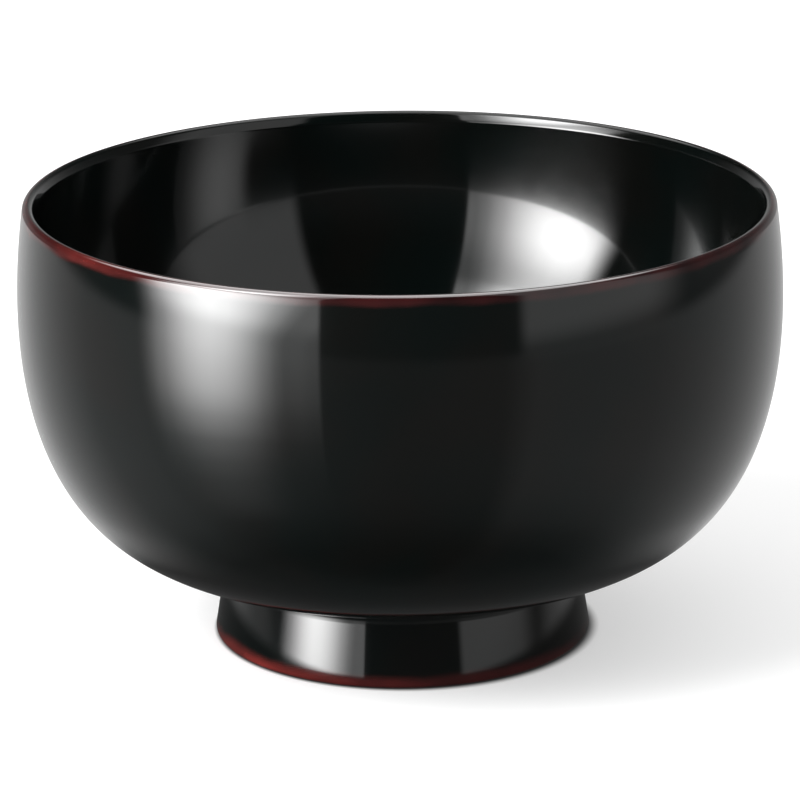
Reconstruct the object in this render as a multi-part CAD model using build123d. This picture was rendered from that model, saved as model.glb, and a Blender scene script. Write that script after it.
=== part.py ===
"""Lacquered soup and rice bowl, turned from one block of wood. All sizes are in millimetres.

The bowl stands on the XY plane with its axis on Z: the origin is the centre of the foot's resting
ring. Nothing on a bowl of this kind moves or comes off. It is one turned wooden core (cup and foot
in one piece) under thick lacquer coats, each laid on its own area of the wood:

  wood_core          the turned block: cup wall, floor and foot ring
  rim_edge_coat      red-brown cap over the lip
  outer_wall_coat    black, outside of the cup, from the cap down to the root of the foot
  inner_wall_coat    black, inside of the cup
  foot_root_coat     red-brown line in the cove where the cup grows out of the foot
  foot_wall_coat     black, outside of the foot ring
  foot_edge_coat     red-brown band round the foot's bottom edge, the part that touches the table
  foot_recess_coat   black, inside of the foot ring and the underside of the floor

Every piece is a ring or a dish, so each is drawn as half a cross-section and turned about Z.
"""

from build123d import *
from math import atan2, cos, hypot, radians, sin, tan
import os

# ---- overall sizes ----
HEIGHT = 68.0
RIM_RADIUS = 56.4  # outside of the lip; the belly below it swells to 57.5, so 115 across
LIP_RADIUS = 0.9  # the lip is a full round, 1.8 thick
FLOOR_HEIGHT = 15.4  # inside floor above the table

# ---- foot ----
FOOT_RADIUS = 28.8  # outside, at the table
FOOT_ROOT_RADIUS = 26.7  # outside, where the foot meets the cup
FOOT_HEIGHT = 13.2  # outside, up to the cup
FOOT_INNER_RADIUS = 24.9  # inside, at the table
RECESS_RADIUS = 23.6  # inside, at the ceiling of the hollow
RECESS_DEPTH = 10.4

# ---- outside of the cup: a cubic curve from the root of the foot up to the lip ----
UNDERSIDE_REACH = (48.6, 13.4)  # end of the first control leg, which runs out almost level
WALL_LEAN = 8.0  # degrees that the wall leans in at the lip
WALL_PULL = 36.6  # length of the last control leg, down from the lip along that lean

# ---- inside of the cup: a short bevel under the lip, then a cubic curve, almost a half ball ----
BEVEL_LEAN = 28.0  # degrees from upright
BEVEL_LENGTH = 1.0
INNER_PULL = 27.8  # length of the first control leg, straight down from the bevel
FLOOR_REACH = 36.3  # radius where the last control leg, level across the floor, begins

# ---- corner radii on the finished surface ----
FOOT_EDGE_ROUND = 0.6
COVE_ROUND = 3.2
RECESS_ROUND = 4.0
BEVEL_ROUND = 0.9

# ---- lacquer ----
COAT = 0.4  # thickness, ground coat included
RIM_BAND = 1.7  # how far the red-brown cap comes down from the crest of the lip
FOOT_BAND = 2.0  # how far the red-brown band comes up from the table
ROOT_BAND_LOW = 9.4  # the red-brown line starts at this height on the foot
ROOT_BAND_OUT = 30.6  # and ends at this radius on the underside of the cup

BEYOND = 200.0  # past the bowl on every side


# ---- plane geometry on (radius, height) pairs ----
def along(point, lean, length):
    """The point a length away from another, at a lean measured from straight up to outwards."""
    angle = radians(lean)
    return (point[0] + length * sin(angle), point[1] + length * cos(angle))


def direction(a, b):
    """Unit vector from a to b."""
    length = hypot(b[0] - a[0], b[1] - a[1])
    return ((b[0] - a[0]) / length, (b[1] - a[1]) / length)


def shifted(a, b, distance):
    """The leg from a to b moved sideways, to the left of its direction."""
    x, z = direction(a, b)
    return [(p[0] - z * distance, p[1] + x * distance) for p in (a, b)]


def crossing(first, second):
    """Where the lines through two legs meet."""
    (a, b), (c, d) = first, second
    (ux, uz), (vx, vz) = direction(a, b), direction(c, d)
    reach = ((c[0] - a[0]) * vz - (c[1] - a[1]) * vx) / (ux * vz - uz * vx)
    return (a[0] + reach * ux, a[1] + reach * uz)


def inset(chain, distance):
    """A chain of legs moved into the wood, which lies to the left of the chain."""
    legs = [shifted(a, b, distance) for a, b in zip(chain, chain[1:])]
    corners = [crossing(first, second) for first, second in zip(legs, legs[1:])]
    return [legs[0][0], *corners, legs[-1][1]]


def rounding(before, corner, after, radius):
    """Start, middle and end of the arc that rounds the corner between two legs."""
    (ax, az), (bx, bz) = direction(corner, before), direction(corner, after)
    half_angle = atan2(abs(ax * bz - az * bx), ax * bx + az * bz) / 2
    reach = radius / tan(half_angle)
    gap = radius / sin(half_angle) - radius
    mx, mz = direction((0, 0), (ax + bx, az + bz))
    start = (corner[0] + ax * reach, corner[1] + az * reach)
    middle = (corner[0] + mx * gap, corner[1] + mz * gap)
    end = (corner[0] + bx * reach, corner[1] + bz * reach)
    return start, middle, end


# ---- cross-sections ----
def half_section(depth):
    """Half the bowl's cross-section, with the whole surface moved a depth into the wood."""
    lip_centre = (RIM_RADIUS - LIP_RADIUS, HEIGHT - LIP_RADIUS)
    wall_top = along(lip_centre, 90 - WALL_LEAN, LIP_RADIUS)
    bevel_top = along(lip_centre, BEVEL_LEAN - 90, LIP_RADIUS)
    bevel_bottom = along(bevel_top, 180 + BEVEL_LEAN, BEVEL_LENGTH)
    outside = inset(
        [
            (0, RECESS_DEPTH),
            (RECESS_RADIUS, RECESS_DEPTH),
            (FOOT_INNER_RADIUS, 0),
            (FOOT_RADIUS, 0),
            (FOOT_ROOT_RADIUS, FOOT_HEIGHT),
            UNDERSIDE_REACH,
            along(wall_top, 180 - WALL_LEAN, WALL_PULL),
            wall_top,
        ],
        depth,
    )
    inside = inset(
        [
            bevel_top,
            bevel_bottom,
            along(bevel_bottom, 180, INNER_PULL),
            (FLOOR_REACH, FLOOR_HEIGHT),
            (0, FLOOR_HEIGHT),
        ],
        depth,
    )
    recess_corner = rounding(*outside[0:3], RECESS_ROUND + depth)
    inner_edge = rounding(*outside[1:4], FOOT_EDGE_ROUND - depth)
    outer_edge = rounding(*outside[2:5], FOOT_EDGE_ROUND - depth)
    cove = rounding(*outside[3:6], COVE_ROUND + depth)
    bevel_corner = rounding(*inside[0:3], BEVEL_ROUND - depth)
    crest = (lip_centre[0], HEIGHT - depth)
    outline = [
        Line(outside[0], recess_corner[0]),
        ThreePointArc(*recess_corner),
        Line(recess_corner[2], inner_edge[0]),
        ThreePointArc(*inner_edge),
        Line(inner_edge[2], outer_edge[0]),
        ThreePointArc(*outer_edge),
        Line(outer_edge[2], cove[0]),
        ThreePointArc(*cove),
        Bezier(cove[2], *outside[5:8]),
        ThreePointArc(outside[7], crest, inside[0]),
        Line(inside[0], bevel_corner[0]),
        ThreePointArc(*bevel_corner),
        Bezier(bevel_corner[2], *inside[2:5]),
        Line(inside[4], outside[0]),
    ]
    return Plane.XZ * make_face(outline)


def zone(inner, outer, low, high):
    """The part of the cross-section between two radii and two heights."""
    middle = Pos((inner + outer) / 2, (low + high) / 2)
    return Plane.XZ * middle * Rectangle(outer - inner, high - low)


def coat_sections():
    """The lacquer's cross-section, divided into the areas of the separate coats."""
    lacquer = half_section(0) - half_section(COAT)
    rim_low = HEIGHT - RIM_BAND
    foot_middle = (FOOT_INNER_RADIUS + FOOT_ROOT_RADIUS) / 2
    rim = zone(0, BEYOND, rim_low, BEYOND)
    outer, inner = (lacquer - rim).faces().sort_by(Axis.Z)
    return {
        "rim_edge_coat": lacquer & rim,
        "inner_wall_coat": inner,
        "outer_wall_coat": outer & zone(ROOT_BAND_OUT, BEYOND, ROOT_BAND_LOW, rim_low),
        "foot_root_coat": outer & zone(foot_middle, ROOT_BAND_OUT, ROOT_BAND_LOW, rim_low),
        "foot_wall_coat": outer & zone(foot_middle, BEYOND, FOOT_BAND, ROOT_BAND_LOW),
        "foot_edge_coat": outer & zone(0, BEYOND, 0, FOOT_BAND),
        "foot_recess_coat": outer & zone(0, foot_middle, FOOT_BAND, FOOT_HEIGHT),
    }


def main():
    """Turn every cross-section about Z and write one STEP for each piece."""
    sections = {"wood_core": half_section(COAT), **coat_sections()}
    os.makedirs("parts", exist_ok=True)
    for name, section in sections.items():
        export_step(revolve(section, Axis.Z), f"parts/{name}.step")


main()
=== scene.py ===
from math import acos, ceil, cos, hypot, pi, radians, sin, tan

import bmesh
import bpy
from mathutils import Matrix, Vector


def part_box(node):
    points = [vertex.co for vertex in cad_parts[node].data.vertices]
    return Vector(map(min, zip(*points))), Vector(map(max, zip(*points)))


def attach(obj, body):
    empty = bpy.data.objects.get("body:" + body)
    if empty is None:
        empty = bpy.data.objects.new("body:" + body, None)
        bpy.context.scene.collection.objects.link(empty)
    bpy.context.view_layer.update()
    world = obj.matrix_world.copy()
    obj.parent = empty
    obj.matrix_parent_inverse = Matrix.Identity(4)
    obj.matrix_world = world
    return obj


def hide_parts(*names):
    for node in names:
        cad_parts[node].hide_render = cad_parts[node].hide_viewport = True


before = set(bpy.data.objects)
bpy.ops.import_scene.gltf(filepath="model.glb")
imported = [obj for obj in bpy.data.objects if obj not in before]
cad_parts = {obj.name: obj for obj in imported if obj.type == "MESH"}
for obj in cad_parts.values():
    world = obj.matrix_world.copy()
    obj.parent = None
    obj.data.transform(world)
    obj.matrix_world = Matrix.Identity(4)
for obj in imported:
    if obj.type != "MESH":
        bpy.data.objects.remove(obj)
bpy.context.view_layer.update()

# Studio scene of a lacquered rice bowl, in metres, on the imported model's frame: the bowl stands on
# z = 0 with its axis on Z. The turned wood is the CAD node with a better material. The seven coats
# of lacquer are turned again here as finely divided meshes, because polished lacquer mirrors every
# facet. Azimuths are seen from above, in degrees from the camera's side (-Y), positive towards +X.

MM = 0.001


# ---- sizes that the frame gives ----
def top(node):
    """Height of a CAD node's highest point."""
    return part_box(node)[1].z


def bottom(node):
    """Height of a CAD node's lowest point."""
    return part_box(node)[0].z


HEIGHT = top("rim_edge_coat")
COAT = HEIGHT - top("wood_core")
FLOOR_HEIGHT = bottom("inner_wall_coat") + COAT
RECESS_DEPTH = top("foot_recess_coat") - COAT
RIM_LOW = bottom("rim_edge_coat")
FOOT_BAND = top("foot_edge_coat")
ROOT_BAND_LOW = bottom("foot_root_coat")
ROOT_BAND_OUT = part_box("foot_root_coat")[1].x

# ---- the bowl's shape, the same curves as the CAD model's, leans in degrees ----
RIM_RADIUS = 56.4 * MM
LIP_RADIUS = 0.9 * MM
FOOT_RADIUS = 28.8 * MM
FOOT_ROOT_RADIUS = 26.7 * MM
FOOT_HEIGHT = 13.2 * MM
FOOT_INNER_RADIUS = 24.9 * MM
RECESS_RADIUS = 23.6 * MM
UNDERSIDE_REACH = (48.6 * MM, 13.4 * MM)
WALL_LEAN = 8.0
WALL_PULL = 36.6 * MM
BEVEL_LEAN = 28.0
BEVEL_LENGTH = 1.0 * MM
INNER_PULL = 27.8 * MM
FLOOR_REACH = 36.3 * MM
FOOT_EDGE_ROUND = 0.6 * MM
COVE_ROUND = 3.2 * MM
RECESS_ROUND = 4.0 * MM
BEVEL_ROUND = 0.9 * MM

# ---- fineness of the turned meshes ----
SEGMENTS = 256
LONG_STEP = 0.7 * MM  # along walls
TURN_STEP = 6.0  # degrees, round corners
HIDDEN_STEP = 3  # a coat's side against the wood keeps one point in this many
ON_AXIS = 1e-9  # a radius below this is on the bowl's axis
SLACK = 1e-3  # part of a step that rounding errors can add


# ---- plane geometry on (radius, height) pairs ----
def along(point, lean, length):
    """The point a length away from another, at a lean measured from straight up to outwards."""
    angle = radians(lean)
    return (point[0] + length * sin(angle), point[1] + length * cos(angle))


def direction(a, b):
    """Unit vector from a to b."""
    length = hypot(b[0] - a[0], b[1] - a[1])
    return ((b[0] - a[0]) / length, (b[1] - a[1]) / length)


def shifted(a, b, distance):
    """The leg from a to b moved sideways, to the left of its direction."""
    x, z = direction(a, b)
    return [(p[0] - z * distance, p[1] + x * distance) for p in (a, b)]


def crossing(first, second):
    """Where the lines through two legs meet."""
    (a, b), (c, d) = first, second
    (ux, uz), (vx, vz) = direction(a, b), direction(c, d)
    reach = ((c[0] - a[0]) * vz - (c[1] - a[1]) * vx) / (ux * vz - uz * vx)
    return (a[0] + reach * ux, a[1] + reach * uz)


def inset(chain, distance):
    """A chain of legs moved into the wood, which lies to the left of the chain."""
    legs = [shifted(a, b, distance) for a, b in zip(chain, chain[1:])]
    corners = [crossing(first, second) for first, second in zip(legs, legs[1:])]
    return [legs[0][0], *corners, legs[-1][1]]


def spaced(start, end, step):
    """Even values from start to end, both included, no further apart than step."""
    count = max(1, ceil(abs(end - start) / step - SLACK))
    return [start + (end - start) * i / count for i in range(count + 1)]


def rounded(before, corner, after, radius):
    """Points along the arc that rounds the corner between two legs."""
    (ax, az), (bx, bz) = direction(corner, before), direction(corner, after)
    half_angle = acos(ax * bx + az * bz) / 2
    reach = radius / tan(half_angle)
    mx, mz = direction((0, 0), (ax + bx, az + bz))
    centre = (corner[0] + mx * radius / sin(half_angle), corner[1] + mz * radius / sin(half_angle))
    start = (corner[0] + ax * reach - centre[0], corner[1] + az * reach - centre[1])
    side = 1 if start[0] * (bz - az) - start[1] * (bx - ax) > 0 else -1
    points = []
    for turn in spaced(0, pi - 2 * half_angle, radians(TURN_STEP)):
        c, s = cos(turn), sin(turn) * side
        points.append((centre[0] + start[0] * c - start[1] * s, centre[1] + start[0] * s + start[1] * c))
    return points


def curve(p0, p1, p2, p3):
    """Points along a cubic curve with these control points."""
    length = sum(hypot(b[0] - a[0], b[1] - a[1]) for a, b in ((p0, p1), (p1, p2), (p2, p3)))
    points = []
    for t in spaced(0, 1, LONG_STEP / length):
        weights = ((1 - t) ** 3, 3 * t * (1 - t) ** 2, 3 * t * t * (1 - t), t**3)
        points.append(tuple(sum(w * p[i] for w, p in zip(weights, (p0, p1, p2, p3))) for i in (0, 1)))
    return points


def run(a, b):
    """Points along a straight stretch."""
    shares = spaced(0, 1, 2 * LONG_STEP / hypot(b[0] - a[0], b[1] - a[1]))
    return [(a[0] + (b[0] - a[0]) * t, a[1] + (b[1] - a[1]) * t) for t in shares]


def outline(depth):
    """The bowl's surface, moved a depth into the wood, as one chain of points: from the middle of
    the hollow under the foot, round the foot, up the outside, over the lip and down the inside."""
    lip_centre = (RIM_RADIUS - LIP_RADIUS, HEIGHT - LIP_RADIUS)
    wall_top = along(lip_centre, 90 - WALL_LEAN, LIP_RADIUS)
    bevel_top = along(lip_centre, BEVEL_LEAN - 90, LIP_RADIUS)
    bevel_bottom = along(bevel_top, 180 + BEVEL_LEAN, BEVEL_LENGTH)
    outside = inset(
        [
            (0, RECESS_DEPTH),
            (RECESS_RADIUS, RECESS_DEPTH),
            (FOOT_INNER_RADIUS, 0),
            (FOOT_RADIUS, 0),
            (FOOT_ROOT_RADIUS, FOOT_HEIGHT),
            UNDERSIDE_REACH,
            along(wall_top, 180 - WALL_LEAN, WALL_PULL),
            wall_top,
        ],
        depth,
    )
    inside = inset(
        [
            bevel_top,
            bevel_bottom,
            along(bevel_bottom, 180, INNER_PULL),
            (FLOOR_REACH, FLOOR_HEIGHT),
            (0, FLOOR_HEIGHT),
        ],
        depth,
    )
    recess_corner = rounded(*outside[0:3], RECESS_ROUND + depth)
    inner_edge = rounded(*outside[1:4], FOOT_EDGE_ROUND - depth)
    outer_edge = rounded(*outside[2:5], FOOT_EDGE_ROUND - depth)
    cove = rounded(*outside[3:6], COVE_ROUND + depth)
    bevel_corner = rounded(*inside[0:3], BEVEL_ROUND - depth)
    lip = [
        along(lip_centre, lean, LIP_RADIUS - depth)
        for lean in spaced(90 - WALL_LEAN, BEVEL_LEAN - 90, TURN_STEP)
    ]
    stretches = [
        run(outside[0], recess_corner[0]),
        recess_corner,
        run(recess_corner[-1], inner_edge[0]),
        inner_edge,
        run(inner_edge[-1], outer_edge[0]),
        outer_edge,
        run(outer_edge[-1], cove[0]),
        cove,
        curve(cove[-1], *outside[5:8]),
        lip,
        run(lip[-1], bevel_corner[0]),
        bevel_corner,
        curve(bevel_corner[-1], *inside[2:5]),
    ]
    return [stretches[0][0]] + [point for stretch in stretches for point in stretch[1:]]


# The coats in the order in which the outline meets them, each with where it ends: the next time
# that the outline's radius (0) or height (1) passes a value.
COATS = (
    ("foot_recess_coat", 1, FOOT_BAND),
    ("foot_edge_coat", 1, FOOT_BAND),
    ("foot_wall_coat", 1, ROOT_BAND_LOW),
    ("foot_root_coat", 0, ROOT_BAND_OUT),
    ("outer_wall_coat", 1, RIM_LOW),
    ("rim_edge_coat", 1, RIM_LOW),
    ("inner_wall_coat", 0, -1),
)


def divided(points):
    """The outline cut into one chain for each coat, with the cut point in both neighbours."""
    chains = [[points[0]]]
    for a, b in zip(points, points[1:]):
        axis, limit = COATS[len(chains) - 1][1:]
        if (a[axis] - limit) * (b[axis] - limit) < 0:
            share = (limit - a[axis]) / (b[axis] - a[axis])
            cut = (a[0] + (b[0] - a[0]) * share, a[1] + (b[1] - a[1]) * share)
            chains[-1].append(cut)
            chains.append([cut])
        chains[-1].append(b)
    return chains


# ---- meshes ----
def placed(name, bm, material):
    """A new object in the scene, made of a bmesh."""
    mesh = bpy.data.meshes.new(name)
    bm.to_mesh(mesh)
    bm.free()
    mesh.materials.append(material)
    piece = bpy.data.objects.new(name, mesh)
    bpy.context.scene.collection.objects.link(piece)
    return piece


def turned(name, surface, back, material):
    """A shell turned about Z from its shown side and its side against the wood. It is closed, except
    that a surface that ends on the axis gets no face where it starts: the inner wall's hidden upper
    edge, against the lip's coat."""
    chain = surface + back[::-1]
    on_axis = min(point[0] for point in chain) < ON_AXIS
    sharp = {0, len(surface) - 1, len(surface), len(chain) - 1}
    bm = bmesh.new()
    rings = []
    for radius, height in chain:
        if radius < ON_AXIS:
            rings.append([bm.verts.new((0, 0, height))] * SEGMENTS)
            continue
        angles = [2 * pi * i / SEGMENTS for i in range(SEGMENTS)]
        rings.append([bm.verts.new((radius * cos(a), radius * sin(a), height)) for a in angles])
    pairs = list(zip(rings, rings[1:]))
    if not on_axis:
        pairs.append((rings[-1], rings[0]))
    for low, high in pairs:
        for i in range(SEGMENTS):
            j = (i + 1) % SEGMENTS
            corners = dict.fromkeys((low[i], low[j], high[j], high[i]))
            if len(corners) > 2:
                bm.faces.new(corners).smooth = True
    bmesh.ops.recalc_face_normals(bm, faces=bm.faces)
    for ring in (rings[index] for index in sharp):
        if ring[0] == ring[1]:
            continue  # a point on the axis
        for a, b in zip(ring, ring[1:] + ring[:1]):
            bm.edges.get((a, b)).smooth = False
    return placed(name, bm, material)


def thinned(points):
    """The same chain with fewer points, its ends kept."""
    return points[:-1:HIDDEN_STEP] + [points[-1]]


# ---- material building blocks ----
class Nodes:
    """Short names for making and linking the nodes of one tree."""

    def __init__(self, tree):
        self.tree = tree
        tree.nodes.clear()

    def add(self, kind, **settings):
        node = self.tree.nodes.new("ShaderNode" + kind)
        for key, value in settings.items():
            setattr(node, key, value)
        return node

    def feed(self, socket, value):
        """Links a socket to an output, or sets it to a plain value."""
        if isinstance(value, bpy.types.NodeSocket):
            self.tree.links.new(value, socket)
        else:
            socket.default_value = value

    def math(self, operation, *values):
        node = self.add("Math", operation=operation)
        for socket, value in zip(node.inputs, values):
            self.feed(socket, value)
        return node.outputs[0]

    def total(self, *values):
        result = values[0]
        for value in values[1:]:
            result = self.math("ADD", result, value)
        return result

    def product(self, *values):
        result = values[0]
        for value in values[1:]:
            result = self.math("MULTIPLY", result, value)
        return result

    def step(self, value, low, high, start=0.0, end=1.0):
        """A smooth change from start to end as value goes from low to high."""
        node = self.add("MapRange", interpolation_type="SMOOTHSTEP")
        for socket, item in zip(node.inputs, (value, low, high, start, end)):
            self.feed(socket, item)
        return node.outputs[0]

    def lobe(self, value, centre, width):
        """A bell-shaped bump of height 1 about centre."""
        offset = self.math("DIVIDE", self.math("SUBTRACT", value, centre), width)
        return self.math("EXPONENT", self.product(offset, offset, -1.0))

    def curve(self, value, points):
        """A line through (value, level) points, level at both ends."""
        low, high = points[0][0], points[-1][0]
        peak = max(level for _, level in points)
        share = self.step(value, low, high)
        share.node.interpolation_type = "LINEAR"
        node = self.add("FloatCurve")
        line = node.mapping.curves[0]
        spots = [((place - low) / (high - low), level / peak) for place, level in points]
        line.points[0].location = spots[0]
        line.points[1].location = spots[-1]
        for spot in spots[1:-1]:
            line.points.new(*spot)
        for point in line.points:
            point.handle_type = "VECTOR"
        node.mapping.update()
        self.feed(node.inputs["Value"], share)
        return self.product(node.outputs[0], peak)

    def blend(self, share, first, second):
        """A colour between two, by share."""
        node = self.add("Mix", data_type="RGBA")
        self.feed(node.inputs["Factor"], share)
        for name, value in (("A", first), ("B", second)):
            socket = [s for s in node.inputs if s.name == name and s.type == "RGBA"][0]
            self.feed(socket, value if isinstance(value, bpy.types.NodeSocket) else (*value, 1.0))
        return [s for s in node.outputs if s.type == "RGBA"][0]

    def noise(self, place, scale, detail=3.0, roughness=0.5):
        node = self.add("TexNoise")
        self.feed(node.inputs["Vector"], place)
        node.inputs["Scale"].default_value = scale
        node.inputs["Detail"].default_value = detail
        node.inputs["Roughness"].default_value = roughness
        return node.outputs["Fac"]

    def relief(self, height, distance):
        """A bumped surface normal: distance is the height of a step of 1."""
        node = self.add("Bump")
        node.inputs["Strength"].default_value = 1.0
        node.inputs["Distance"].default_value = distance
        self.feed(node.inputs["Height"], height)
        return node.outputs[0]

    def place(self):
        """Object coordinates, in metres, and their x, y and z."""
        vector = self.add("TexCoord").outputs["Object"]
        split = self.add("SeparateXYZ")
        self.feed(split.inputs[0], vector)
        return vector, *split.outputs

    def azimuth(self, x, y):
        """Degrees from -Y, positive towards +X."""
        return self.math("DEGREES", self.math("ARCTAN2", x, self.math("MULTIPLY", y, -1.0)))

    def radius(self, x, y):
        """Distance from the bowl's axis."""
        return self.math("SQRT", self.total(self.product(x, x), self.product(y, y)))


def empty_material(name):
    """A material, its node helper, and the socket for its shader."""
    material = bpy.data.materials.new(name)
    material.use_nodes = True
    nodes = Nodes(material.node_tree)
    return material, nodes, nodes.add("OutputMaterial").inputs["Surface"]


def new_material(name):
    """A material, its node helper, and its Principled shader."""
    material, nodes, surface = empty_material(name)
    shader = nodes.add("BsdfPrincipled")
    nodes.feed(surface, shader.outputs[0])
    return material, nodes, shader


# ---- lacquer ----
# Noise scales are in cycles to a metre. A range is where a smooth change starts and ends.
BLACK = (0.0015, 0.0026, 0.0024)
BLACK_WARM = (0.0025, 0.0026, 0.0023)
RED_DARK = (0.0085, 0.0030, 0.0032)
RED_MAROON = (0.022, 0.0050, 0.0052)
RED_BRIGHT = (0.150, 0.019, 0.016)
PAINTED_LIGHT_SIDE = -51.0  # azimuth of the painted light on the red-brown lacquer, facing the left lamp, where it looks brightest
RIM_PAINTED_LIGHT = ((7.5, 0.4), (36.0, 0.13))  # how wide and how much painted light, on the lip and on the foot
FOOT_PAINTED_LIGHT = ((26.0, 0.6), (80.0, 0.28))
CLOUD_SCALE = 60.0  # of the black's two tones
CLOUD_RANGE = (0.35, 0.7)
MOTTLE_SCALE = 120.0  # of the red-brown's brush marks
MOTTLE_RANGE = (0.3, 0.72)
MOTTLE_PART = 0.5  # how much of the painted light follows the brush marks, over the even part
EVEN_PART = 0.6

RUBBED_SCALE = 300.0  # of the changes in the ground's roughness
RUBBED_RANGE = (0.3, 0.7)
WAVE_SCALE = 45.0  # of the hand-polished waviness
GRAIN_SCALE = 1500.0
GRAIN_PART = 0.02  # of the waviness's height
WAVE_HEIGHT = 0.02 * MM
LACQUER_IOR = 1.5
TOP_ROUGHNESS = 0.05
GROUND_ROUGHNESS = (0.16, 0.18)
GROUND_LEVEL = 0.06  # how strongly the ground mirrors, outside and inside
INSIDE_ROUGHNESS = (0.09, 0.1)
INSIDE_LEVEL = 0.35
INSIDE_TOP = 0.55  # weight of the inside's thinner clear top
ACROSS = 0.25  # of a turn: the rubbing marks run round, so reflections stretch up and down

FAR_SIDE = (5.0 * MM, 30.0 * MM)  # along Y
FAR_CREST = (HEIGHT - 0.45 * MM, HEIGHT - 0.25 * MM)
FAR_CREST_TOP = 0.15  # weight of the clear top left on the crest there

WAVER_SCALE = 130.0  # of the unevenness of the red-brown's edges
RIM_WAVER = 1.2 * MM
RIM_FADE = (RIM_LOW - 0.1 * MM, RIM_LOW + 0.8 * MM)
RIM_OUTSIDE = (RIM_RADIUS - 1.2 * LIP_RADIUS, RIM_RADIUS - 0.9 * LIP_RADIUS)
FOOT_WAVER = 1.6 * MM
FOOT_FADE = (FOOT_BAND - 1.2 * MM, FOOT_BAND + 0.5 * MM)
ROOT_WAVER = 0.5 * MM
ROOT_LINE = FOOT_HEIGHT - 0.2 * MM
ROOT_WIDTH = 0.7 * MM
ROOT_PART = 0.8


def polish(nodes, shader, vector, roughness, level):
    """The gloss: a clear top over a hazy ground, both with a hand-polished waviness."""
    rubbed = nodes.noise(vector, RUBBED_SCALE, detail=3.0, roughness=0.55)
    wave = nodes.noise(vector, WAVE_SCALE, detail=1.0, roughness=0.4)
    grain = nodes.noise(vector, GRAIN_SCALE, detail=3.0, roughness=0.6)
    height = nodes.total(wave, nodes.product(grain, GRAIN_PART))
    nodes.feed(shader.inputs["Roughness"], nodes.step(rubbed, *RUBBED_RANGE, *roughness))
    nodes.feed(shader.inputs["Normal"], nodes.relief(height, WAVE_HEIGHT))
    shader.inputs["IOR"].default_value = LACQUER_IOR
    shader.inputs["Specular IOR Level"].default_value = level
    shader.inputs["Coat Weight"].default_value = 1.0
    shader.inputs["Coat IOR"].default_value = LACQUER_IOR
    shader.inputs["Coat Roughness"].default_value = TOP_ROUGHNESS


def rub_round(nodes, shader, vector):
    """The gloss of the inside, whose ground was rubbed round and round on the lathe under a
    thinner clear top, so that it draws reflections out up and down."""
    polish(nodes, shader, vector, INSIDE_ROUGHNESS, INSIDE_LEVEL)
    around = nodes.add("Tangent", direction_type="RADIAL", axis="Z").outputs[0]
    nodes.feed(shader.inputs["Tangent"], around)
    shader.inputs["Anisotropic"].default_value = 1.0
    shader.inputs["Anisotropic Rotation"].default_value = ACROSS
    shader.inputs["Coat Weight"].default_value = INSIDE_TOP


def dull_far_crest(nodes, shader, y, z):
    """Wears the crest of the lip dull on the far side, away from the light."""
    dull = nodes.product(nodes.step(y, *FAR_SIDE), nodes.step(z, *FAR_CREST))
    nodes.feed(shader.inputs["Coat Weight"], nodes.step(dull, 0.0, 1.0, 1.0, FAR_CREST_TOP))


def black_lacquer(nodes, vector):
    """Black, in clouds of a cooler and a warmer tone."""
    cloud = nodes.step(nodes.noise(vector, CLOUD_SCALE, detail=2.0), *CLOUD_RANGE)
    return nodes.blend(cloud, BLACK, BLACK_WARM)


def red_brown(nodes, vector, x, y, painted_light):
    """Translucent red-brown lacquer, mottled as it was brushed, with painted light: lighter on the side
    that faces the left lamp.
    """
    azimuth = nodes.azimuth(x, y)
    lobes = [nodes.product(nodes.lobe(azimuth, PAINTED_LIGHT_SIDE, width), amount) for width, amount in painted_light]
    mottle = nodes.step(nodes.noise(vector, MOTTLE_SCALE, detail=2.0), *MOTTLE_RANGE)
    # Painted light: the red-brown is made lighter towards the left lamp's side, in bell-shaped lobes by
    # azimuth, partly broken up by the brush marks.
    painted_light_share = nodes.product(nodes.total(*lobes), nodes.total(EVEN_PART, nodes.product(mottle, MOTTLE_PART)))
    return nodes.blend(painted_light_share, nodes.blend(mottle, RED_DARK, RED_MAROON), RED_BRIGHT)


def wavering(nodes, vector, z, amount):
    """Height with the slight unevenness of a brushed edge."""
    offset = nodes.math("SUBTRACT", nodes.noise(vector, WAVER_SCALE), 0.5)
    return nodes.total(z, nodes.product(offset, amount))


def red_at_rim(nodes, vector, x, y, z):
    """Red-brown round the outside of the lip, ending near its cap's lower edge."""
    edge = wavering(nodes, vector, z, RIM_WAVER)
    outside = nodes.step(nodes.radius(x, y), *RIM_OUTSIDE)
    return nodes.product(nodes.step(edge, *RIM_FADE), outside)


def red_at_foot(nodes, vector, x, y, z):
    """Red-brown from the table up, fading into the black above its band."""
    edge = wavering(nodes, vector, z, FOOT_WAVER)
    return nodes.step(edge, *FOOT_FADE, 1.0, 0.0)


def red_at_root(nodes, vector, x, y, z):
    """A thin red-brown line in the cove, fading both ways."""
    edge = wavering(nodes, vector, z, ROOT_WAVER)
    return nodes.product(nodes.lobe(edge, ROOT_LINE, ROOT_WIDTH), ROOT_PART)


def edged_lacquer(name, red_share, painted_light):
    """Black lacquer, over red-brown where red_share gives how much of that shows."""
    material, nodes, shader = new_material(name)
    vector, x, y, z = nodes.place()
    share = red_share(nodes, vector, x, y, z)
    red = red_brown(nodes, vector, x, y, painted_light)
    nodes.feed(shader.inputs["Base Color"], nodes.blend(share, black_lacquer(nodes, vector), red))
    polish(nodes, shader, vector, GROUND_ROUGHNESS, GROUND_LEVEL)
    if red_share is red_at_rim:
        dull_far_crest(nodes, shader, y, z)
    return material


def inside_lacquer():
    """Black lacquer with the gloss of the inside."""
    material, nodes, shader = new_material("black_lacquer")
    vector = nodes.place()[0]
    nodes.feed(shader.inputs["Base Color"], black_lacquer(nodes, vector))
    rub_round(nodes, shader, vector)
    return material


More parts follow.
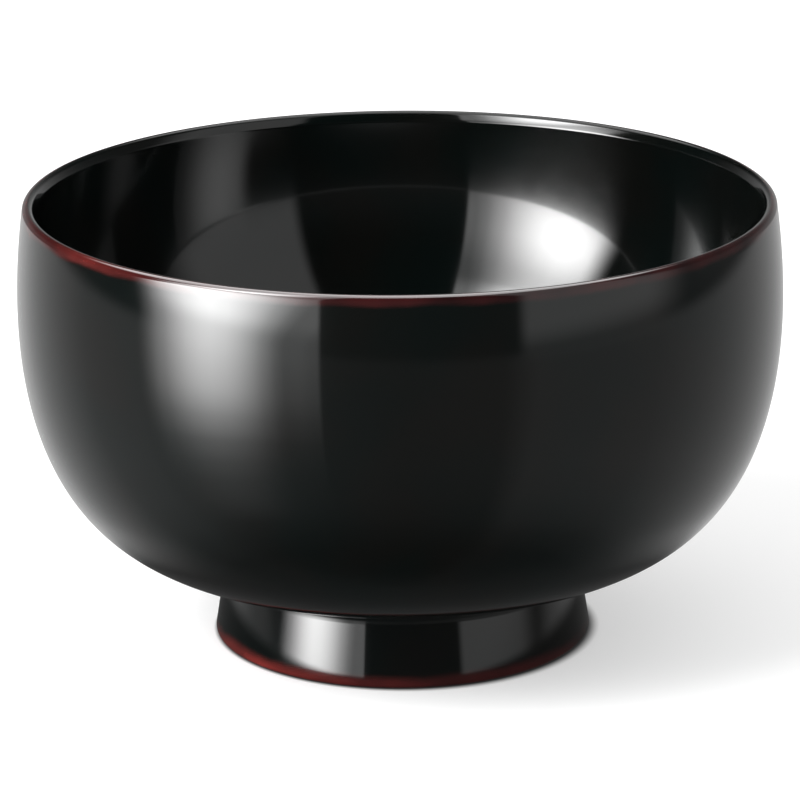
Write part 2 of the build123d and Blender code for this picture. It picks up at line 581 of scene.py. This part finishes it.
# ---- wood ----
WOOD_PALE = (0.44, 0.27, 0.14)
WOOD_LATE = (0.30, 0.165, 0.075)
WOOD_PORE = (0.12, 0.06, 0.028)
GRAIN_STRETCH = (1.0, 0.18, 1.0)  # the grain runs along Y
RINGS_ACROSS = 420.0  # radians to a metre
RINGS_UP = 160.0
RING_WARP = 9.0  # radians
WARP_SCALE = 55.0
PORE_SCALE = 900.0
PORE_RANGE = (0.55, 0.75)
PORE_PART = 0.6
WOOD_ROUGHNESS = (0.5, 0.72)  # between the pores and in them
TURNING_LINES = 9000.0  # radians to a metre of height
LINE_HEIGHT = 0.015 * MM


def turned_wood():
    """Bare turned wood: growth rings across the block, pores, and fine turning lines."""
    material, nodes, shader = new_material("turned_wood")
    vector, x, _, z = nodes.place()
    stretch = nodes.add("Mapping")
    stretch.inputs["Scale"].default_value = GRAIN_STRETCH
    nodes.feed(stretch.inputs["Vector"], vector)
    along_grain = stretch.outputs[0]
    warp = nodes.product(nodes.noise(along_grain, WARP_SCALE, detail=4.0, roughness=0.6), RING_WARP)
    across = nodes.total(nodes.product(x, RINGS_ACROSS), nodes.product(z, RINGS_UP), warp)
    rings = nodes.step(nodes.math("SINE", across), -1.0, 1.0)
    holes = nodes.noise(along_grain, PORE_SCALE, detail=2.0, roughness=0.7)
    pores = nodes.step(holes, *PORE_RANGE)
    plain = nodes.blend(rings, WOOD_PALE, WOOD_LATE)
    nodes.feed(shader.inputs["Base Color"], nodes.blend(nodes.product(pores, PORE_PART), plain, WOOD_PORE))
    nodes.feed(shader.inputs["Roughness"], nodes.step(pores, 0.0, 1.0, *WOOD_ROUGHNESS))
    lines = nodes.math("SINE", nodes.product(z, TURNING_LINES))
    height = nodes.total(lines, nodes.product(pores, -1.0))
    nodes.feed(shader.inputs["Normal"], nodes.relief(height, LINE_HEIGHT))
    return material


# ---- the bowl ----
def build_bowl():
    """Turns each coat, in place of its CAD node, and gives the wood its material."""
    inside = inside_lacquer()
    rim = edged_lacquer("black_lacquer_rim", red_at_rim, RIM_PAINTED_LIGHT)
    foot = edged_lacquer("black_lacquer_foot", red_at_foot, FOOT_PAINTED_LIGHT)
    root = edged_lacquer("black_lacquer_root", red_at_root, FOOT_PAINTED_LIGHT)
    finish = {
        "foot_recess_coat": foot,
        "foot_edge_coat": foot,
        "foot_wall_coat": foot,
        "foot_root_coat": root,
        "outer_wall_coat": rim,
        "rim_edge_coat": rim,
        "inner_wall_coat": inside,
    }
    chains = zip(divided(outline(0)), divided(outline(COAT)))
    for (node, _, _), (surface, back) in zip(COATS, chains):
        piece = turned("turned_" + node, surface, thinned(back), finish[node])
        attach(piece, "root")
        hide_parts(node)
    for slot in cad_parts["wood_core"].material_slots:
        slot.material = turned_wood()


# ---- what the polished bowl mirrors ----
# Places are azimuths or elevations in degrees. A list of pairs gives the level at each place; the
# soft box's left and right are taken across from its middle. Four values are a smooth change:
# from this place to this, from this value to this.
TENT_RADIUS = 8.0
KEY_LEVEL = 24.0
KEY_MIDDLE = (2, 12, -56.5, -59.5)  # azimuth of the soft box's middle, by elevation
KEY_EDGE = (-24.1, -22.5, 1.0, 0.0)  # the soft box ends here, and the camera looks past it
KEY_FOOT = (-7, 2, 0.69, 1.0)  # its width, narrower at the foot
KEY_TOP = (30, 40, 0.0, -0.06)  # and a little at the top
KEY_FAR_END = (5, 20, -80, -76)  # azimuth of its far end
KEY_FAR_TOP = (28, 36, 0, -15)  # which lies further out at the top
KEY_FAR_SOFT = (-6, 6)
KEY_LEFT = ((-38, 0), (-30, 0.13), (-23, 0.29), (-17, 0.53), (-11, 0.78), (-5, 0.95), (0, 1))
KEY_RIGHT = ((7, 0.9), (13, 0.7), (23, 0.29), (29, 0.13), (33, 0.08), (40, 0.085), (45, 0.07))
KEY_LOWER = ((-48, 0), (-35, 0.015), (-30, 0.03), (-25, 0.065), (-20, 0.17), (-15, 0.35), (-10, 0.48))
KEY_CENTRE = ((-5.5, 0.62), (-3.5, 0.9), (1, 1), (6, 1.02), (11, 1.05), (19, 1.0), (24, 0.8), (30, 0.52))
KEY_UPPER = ((36, 0.42), (41, 1.25), (55, 1.0), (75, 0))
BOARD_LEVEL = 0.75
BOARD_START = (33, 38)
BOARD_END = (75, 95, 1.0, 0.1)
BOARD_FOOT = (-10, -4)
LAMP_LEVEL = 6.0
LAMP_PLACE = (-165.0, 71.0)  # azimuth and elevation
LAMP_REACH = (27.0, 38.0)  # full, and none, this far from its middle
BEHIND = ((0, 0.05), (85, 0.05), (125, 0.06), (160, 0.3), (180, 0.3))
BEHIND_TOP = (5, 25, 1.0, 0.0)
ROOM_LEFT = ((-180, 0.55), (-150, 0.63), (-125, 0.5), (-105, 0.37), (-85, 0.4), (-60, 0.25), (-25, 0.14))
ROOM_RIGHT = ((0, 0.11), (30, 0.13), (40, 0.27), (80, 0.29), (110, 0.38), (135, 0.45), (180, 0.55))
TABLE_NEAR = ((-90, 0.1), (-62, 0.16), (-54, 0.35), (-48, 0.6), (-40, 0.85), (-30, 1), (0, 1))
TABLE_END = (-60, 20, -8.4, -9.4)  # elevation of the table's far edge, by azimuth
TABLE_SOFT = (0.0, 2.1)
SHADE_RADIUS = 62 * MM
SHADE_FULL = 0.7  # part of its radius up to where the shade is full
SHADE_HEIGHT = 0.05 * MM  # above the floor
SHADE_LEVEL = 0.06


def pointing(azimuth, elevation):
    """The unit vector towards an azimuth and elevation."""
    a, e = radians(azimuth), radians(elevation)
    return Vector((sin(a) * cos(e), -cos(a) * cos(e), sin(e)))


def tent_light():
    """A tall soft box on the left, a long white board on the right, a dark gap on the camera's
    side, a paler room behind, a lamp above, and the table below."""
    material, nodes, surface = empty_material("studio_tent")
    vector, x, y, z = nodes.place()
    azimuth = nodes.azimuth(x, y)
    elevation = nodes.math("DEGREES", nodes.math("ARCSINE", nodes.math("DIVIDE", z, TENT_RADIUS)))

    offset = nodes.math("SUBTRACT", azimuth, nodes.step(elevation, *KEY_MIDDLE))
    width = nodes.total(nodes.step(elevation, *KEY_FOOT), nodes.step(elevation, *KEY_TOP))
    across = nodes.curve(nodes.math("DIVIDE", offset, width), KEY_LEFT + KEY_RIGHT)
    upright = nodes.curve(elevation, KEY_LOWER + KEY_CENTRE + KEY_UPPER)
    edge = nodes.step(azimuth, *KEY_EDGE)
    far_place = nodes.total(nodes.step(elevation, *KEY_FAR_END), nodes.step(elevation, *KEY_FAR_TOP))
    far_end = nodes.step(nodes.math("SUBTRACT", azimuth, far_place), *KEY_FAR_SOFT)
    key = nodes.product(across, upright, edge, far_end, KEY_LEVEL)

    board_sides = nodes.product(nodes.step(azimuth, *BOARD_START), nodes.step(azimuth, *BOARD_END))
    board = nodes.product(board_sides, nodes.step(elevation, *BOARD_FOOT), BOARD_LEVEL)

    past_end = nodes.math("SUBTRACT", elevation, nodes.step(azimuth, *TABLE_END))
    past_table = nodes.step(past_end, *TABLE_SOFT)
    on_table = nodes.math("SUBTRACT", 1.0, past_table)
    room = nodes.curve(azimuth, ROOM_LEFT + ROOM_RIGHT)
    table = nodes.product(room, nodes.curve(elevation, TABLE_NEAR), on_table)
    around = nodes.curve(nodes.math("ABSOLUTE", azimuth), BEHIND)
    behind = nodes.product(around, past_table, nodes.step(elevation, *BEHIND_TOP))

    towards = nodes.add("VectorMath", operation="DOT_PRODUCT")
    nodes.feed(towards.inputs[0], vector)
    towards.inputs[1].default_value = pointing(*LAMP_PLACE) / TENT_RADIUS
    full, none = (cos(radians(reach)) for reach in LAMP_REACH)
    lamp = nodes.product(nodes.step(towards.outputs["Value"], none, full), LAMP_LEVEL)

    glow = nodes.add("Emission")
    nodes.feed(glow.inputs["Strength"], nodes.total(key, board, table, behind, lamp))
    nodes.feed(surface, glow.outputs[0])
    material.cycles.emission_sampling = "NONE"
    return material


def only_mirrored(piece):
    """Leaves a piece of the studio to the bowl's reflections alone."""
    for kind in ("camera", "diffuse", "shadow", "transmission", "volume_scatter"):
        setattr(piece, "visible_" + kind, False)


def build_tent():
    """A ball round the bowl that only the bowl's reflections see."""
    bm = bmesh.new()
    bmesh.ops.create_uvsphere(bm, u_segments=64, v_segments=32, radius=TENT_RADIUS)
    for face in bm.faces:
        face.smooth = True
    tent = placed("studio_tent", bm, tent_light())
    tent.location.z = AIM_HEIGHT
    only_mirrored(tent)


# ---- floor, lights and camera ----
FLOOR_PALE = (0.60, 0.60, 0.60)
FLOOR_PALER = (0.62, 0.62, 0.62)
# colour of the painted contact shadow round the foot
FLOOR_PAINTED_SHADOW = (0.02, 0.02, 0.02)
FLOOR_SCALE = 3.0  # of its two tones, in cycles to a metre
FLOOR_RANGE = (0.3, 0.7)
FLOOR_GLOW = 0.45
FLOOR_RADIUS = 20.0
CONTACT_LEFT = 0.5 * MM  # width of the painted contact shadow round the foot, towards the light
CONTACT_RIGHT = 1.8 * MM  # and away from it
LEFT_LAMP_PLACE = (-58, 40, 1.0)  # azimuth, elevation, distance
LEFT_LAMP_SIZE = 0.6
LEFT_LAMP_POWER = 15.0
CAMERA_ELEVATION = 17.19
CAMERA_DISTANCE = 0.65
CAMERA_ROLL = 0.45
CAMERA_LENS = 192.5
CAMERA_SHIFT = (-0.0014, 0.0155)
AIM_HEIGHT = HEIGHT / 2


def disc(name, radius, height, material):
    """A flat round piece of the studio."""
    bm = bmesh.new()
    bmesh.ops.create_circle(bm, cap_ends=True, segments=96, radius=radius)
    piece = placed(name, bm, material)
    piece.location.z = height
    return piece


def build_floor():
    """A wide pale floor, lit from below too but for a painted contact shadow, a dark line where the foot
    meets it. The bowl mirrors it as the tent shows it."""
    material, nodes, shader = new_material("pale_floor")
    vector, x, y, _ = nodes.place()
    radius = nodes.radius(x, y)
    cloud = nodes.step(nodes.noise(vector, FLOOR_SCALE, detail=2.0), *FLOOR_RANGE)
    pale = nodes.blend(cloud, FLOOR_PALE, FLOOR_PALER)
    # Painted contact shadow: the floor's colour and glow go dark in a line round the foot, wider on the
    # side away from the lamp.
    width = nodes.step(x, -FOOT_RADIUS, FOOT_RADIUS, CONTACT_LEFT, CONTACT_RIGHT)
    line = nodes.step(radius, FOOT_RADIUS - FOOT_EDGE_ROUND, nodes.total(width, FOOT_RADIUS))
    nodes.feed(shader.inputs["Base Color"], nodes.blend(line, FLOOR_PAINTED_SHADOW, pale))
    nodes.feed(shader.inputs["Emission Strength"], nodes.product(line, FLOOR_GLOW))
    shader.inputs["Emission Color"].default_value = (1.0, 1.0, 1.0, 1.0)
    shader.inputs["Roughness"].default_value = 0.9
    shader.inputs["Specular IOR Level"].default_value = 0.0
    disc("pale_floor", FLOOR_RADIUS, 0.0, material).visible_glossy = False


def build_shade():
    """The bowl's shade on the floor, for its own reflections only: dark under it, fading outwards."""
    material, nodes, surface = empty_material("shade")
    _, x, y, _ = nodes.place()
    dim = nodes.add("Emission")
    dim.inputs["Strength"].default_value = SHADE_LEVEL
    mix = nodes.add("MixShader")
    nodes.feed(mix.inputs[0], nodes.step(nodes.radius(x, y), SHADE_RADIUS * SHADE_FULL, SHADE_RADIUS))
    nodes.feed(mix.inputs[1], dim.outputs[0])
    nodes.feed(mix.inputs[2], nodes.add("BsdfTransparent").outputs[0])
    nodes.feed(surface, mix.outputs[0])
    only_mirrored(disc("shade", SHADE_RADIUS, SHADE_HEIGHT, material))


def aimed(location, target, roll=0.0):
    """A matrix at location, looking at target, turned about its own view by roll degrees."""
    view = Vector(target) - Vector(location)
    turn = view.to_track_quat("-Z", "Y").to_matrix().to_4x4()
    return Matrix.Translation(location) @ turn @ Matrix.Rotation(radians(roll), 4, "Z")


def seen_from(azimuth, elevation, distance):
    """The place at that azimuth, elevation and distance from the bowl."""
    return pointing(azimuth, elevation) * distance + Vector((0, 0, AIM_HEIGHT))


def build_lights():
    """Soft white surroundings and one large lamp on the left, for the floor and the colours."""
    world = bpy.data.worlds.new("soft_white")
    world.use_nodes = True
    nodes = Nodes(world.node_tree)
    sky = nodes.add("Background")
    sky.inputs["Color"].default_value = (1.0, 1.0, 1.0, 1.0)
    sky.inputs["Strength"].default_value = 1.0
    nodes.feed(nodes.add("OutputWorld").inputs["Surface"], sky.outputs[0])
    bpy.context.scene.world = world

    lamp = bpy.data.lights.new("left_lamp", "AREA")
    lamp.shape = "SQUARE"
    lamp.size = LEFT_LAMP_SIZE
    lamp.energy = LEFT_LAMP_POWER
    lamp_object = bpy.data.objects.new("left_lamp", lamp)
    lamp_object.matrix_world = aimed(seen_from(*LEFT_LAMP_PLACE), (0, 0, AIM_HEIGHT))
    lamp_object.visible_glossy = False
    bpy.context.scene.collection.objects.link(lamp_object)


def build_camera():
    """A long lens a little above the rim, at the height and turn of a product photograph."""
    camera = bpy.data.cameras.new("camera")
    camera.sensor_width = 36.0
    camera.lens = CAMERA_LENS
    camera.shift_x, camera.shift_y = CAMERA_SHIFT
    camera.clip_start = 0.01
    camera.clip_end = 60.0
    camera_object = bpy.data.objects.new("camera", camera)
    place = seen_from(0, CAMERA_ELEVATION, CAMERA_DISTANCE)
    camera_object.matrix_world = aimed(place, (0, 0, AIM_HEIGHT), -CAMERA_ROLL)
    bpy.context.scene.collection.objects.link(camera_object)
    bpy.context.scene.camera = camera_object


build_bowl()
build_floor()
build_shade()
build_tent()
build_lights()
build_camera()
bpy.context.scene.view_settings.view_transform = "Standard"
